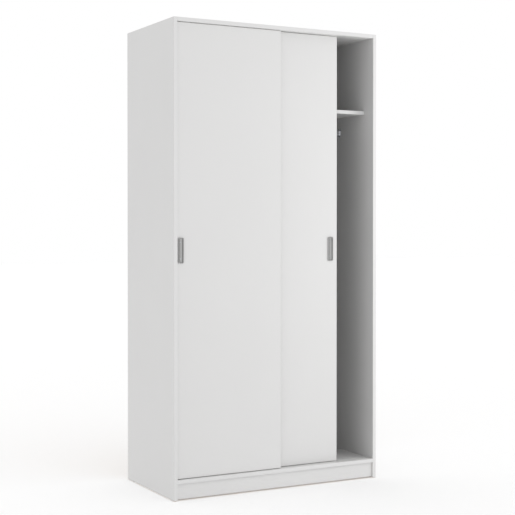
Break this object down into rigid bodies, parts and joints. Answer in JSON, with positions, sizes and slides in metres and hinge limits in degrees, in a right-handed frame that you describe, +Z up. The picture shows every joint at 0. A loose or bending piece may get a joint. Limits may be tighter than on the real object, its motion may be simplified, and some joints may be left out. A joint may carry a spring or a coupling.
{
  "type": "sliding door wardrobe",
  "caption": "White board wardrobe with two plain sliding doors on a double track, hollowed pulls, a shelf, an oval clothes rail and a plinth.",
  "frame": {"origin": "on the floor, in the middle of the footprint", "axes": "+Z up, -Y towards the doors, +X to the right of a person facing the doors"},
  "size_m": [1, 0.5, 2],
  "materials": {
    "white_board": "matte white melamine on particle board",
    "hardboard_back": "white painted hardboard",
    "white_plastic": "white extruded plastic",
    "grey_plastic": "moulded light grey plastic",
    "nylon": "natural nylon",
    "clear_rubber": "soft translucent",
    "satin_metal": "satin grey",
    "chrome_rail": "bright chrome plate",
    "zinc_steel": "bright zinc plate",
    "beech": "plain beech"
  },
  "bodies": {
    "carcass": {"side_panel_left": "white_board", "side_panel_right": "white_board", "top_panel": "white_board", "bottom_panel": "white_board", "shelf": "white_board", "plinth_front": "white_board", "plinth_rear": "white_board", "plinth_brace": "white_board", "back_sheet_left": "hardboard_back", "back_sheet_right": "hardboard_back", "back_joint_strip": "white_plastic", "top_track": "white_plastic", "bottom_track": "white_plastic", "cam_cover_caps": "white_plastic", "floor_glides": "grey_plastic", "clothes_rail": "chrome_rail", "rail_bracket_left": "chrome_rail", "rail_bracket_right": "chrome_rail", "rail_bracket_screws": "zinc_steel", "track_screws": "zinc_steel", "back_nails": "zinc_steel", "cam_locks": "zinc_steel", "cam_bolts": "zinc_steel", "wood_dowels": "beech", "wall_bracket_left": "zinc_steel", "wall_bracket_right": "zinc_steel", "wall_bracket_screws": "zinc_steel"},
    "front_door": {"front_door_panel": "white_board", "front_door_handle": "satin_metal", "front_door_handle_screws": "zinc_steel", "front_door_fitting_screws": "zinc_steel", "front_door_bumpers": "clear_rubber", "front_door_roller_housing_left": "grey_plastic", "front_door_axle_left": "zinc_steel", "front_door_guide_housing_left": "grey_plastic", "front_door_roller_housing_right": "grey_plastic", "front_door_axle_right": "zinc_steel", "front_door_guide_housing_right": "grey_plastic"},
    "front_door_wheel_left": {"front_door_wheel_left": "nylon"},
    "front_door_guide_tongue_left": {"front_door_guide_tongue_left": "nylon"},
    "front_door_wheel_right": {"front_door_wheel_right": "nylon"},
    "front_door_guide_tongue_right": {"front_door_guide_tongue_right": "nylon"},
    "rear_door": {"rear_door_panel": "white_board", "rear_door_handle": "satin_metal", "rear_door_handle_screws": "zinc_steel", "rear_door_fitting_screws": "zinc_steel", "rear_door_bumpers": "clear_rubber", "rear_door_roller_housing_left": "grey_plastic", "rear_door_axle_left": "zinc_steel", "rear_door_guide_housing_left": "grey_plastic", "rear_door_roller_housing_right": "grey_plastic", "rear_door_axle_right": "zinc_steel", "rear_door_guide_housing_right": "grey_plastic"},
    "rear_door_wheel_left": {"rear_door_wheel_left": "nylon"},
    "rear_door_guide_tongue_left": {"rear_door_guide_tongue_left": "nylon"},
    "rear_door_wheel_right": {"rear_door_wheel_right": "nylon"},
    "rear_door_guide_tongue_right": {"rear_door_guide_tongue_right": "nylon"}
  },
  "joints": [
    {"name": "front_door_slide", "type": "slide", "parent": "carcass", "child": "front_door", "axis": [1, 0, 0], "range_m": [0, 0.471]},
    {"name": "front_door_wheel_left_spin", "type": "hinge", "parent": "front_door", "child": "front_door_wheel_left", "pos_m": [-0.4322, -0.234, 0.0938], "axis": [0, 1, 0], "continuous": true},
    {"name": "front_door_guide_tongue_left_press", "type": "slide", "parent": "front_door", "child": "front_door_guide_tongue_left", "axis": [0, 0, 1], "range_m": [-0.007, 0], "stiffness_N_per_m": 400, "springref_m": 0.005},
    {"name": "front_door_wheel_right_spin", "type": "hinge", "parent": "front_door", "child": "front_door_wheel_right", "pos_m": [-0.0392, -0.234, 0.0938], "axis": [0, 1, 0], "continuous": true},
    {"name": "front_door_guide_tongue_right_press", "type": "slide", "parent": "front_door", "child": "front_door_guide_tongue_right", "axis": [0, 0, 1], "range_m": [-0.007, 0], "stiffness_N_per_m": 400, "springref_m": 0.005},
    {"name": "rear_door_slide", "type": "slide", "parent": "carcass", "child": "rear_door", "axis": [1, 0, 0], "range_m": [-0.3, 0.171]},
    {"name": "rear_door_wheel_left_spin", "type": "hinge", "parent": "rear_door", "child": "rear_door_wheel_left", "pos_m": [-0.132, -0.21, 0.0938], "axis": [0, 1, 0], "continuous": true},
    {"name": "rear_door_guide_tongue_left_press", "type": "slide", "parent": "rear_door", "child": "rear_door_guide_tongue_left", "axis": [0, 0, 1], "range_m": [-0.007, 0], "stiffness_N_per_m": 400, "springref_m": 0.005},
    {"name": "rear_door_wheel_right_spin", "type": "hinge", "parent": "rear_door", "child": "rear_door_wheel_right", "pos_m": [0.261, -0.21, 0.0938], "axis": [0, 1, 0], "continuous": true},
    {"name": "rear_door_guide_tongue_right_press", "type": "slide", "parent": "rear_door", "child": "rear_door_guide_tongue_right", "axis": [0, 0, 1], "range_m": [-0.007, 0], "stiffness_N_per_m": 400, "springref_m": 0.005}
  ],
  "couplings": [
    {"joint": "front_door_wheel_left_spin", "follows": "front_door_slide", "rad_per_m": 71.429},
    {"joint": "front_door_wheel_right_spin", "follows": "front_door_slide", "rad_per_m": 71.429},
    {"joint": "rear_door_wheel_left_spin", "follows": "rear_door_slide", "rad_per_m": 71.429},
    {"joint": "rear_door_wheel_right_spin", "follows": "rear_door_slide", "rad_per_m": 71.429}
  ]
}
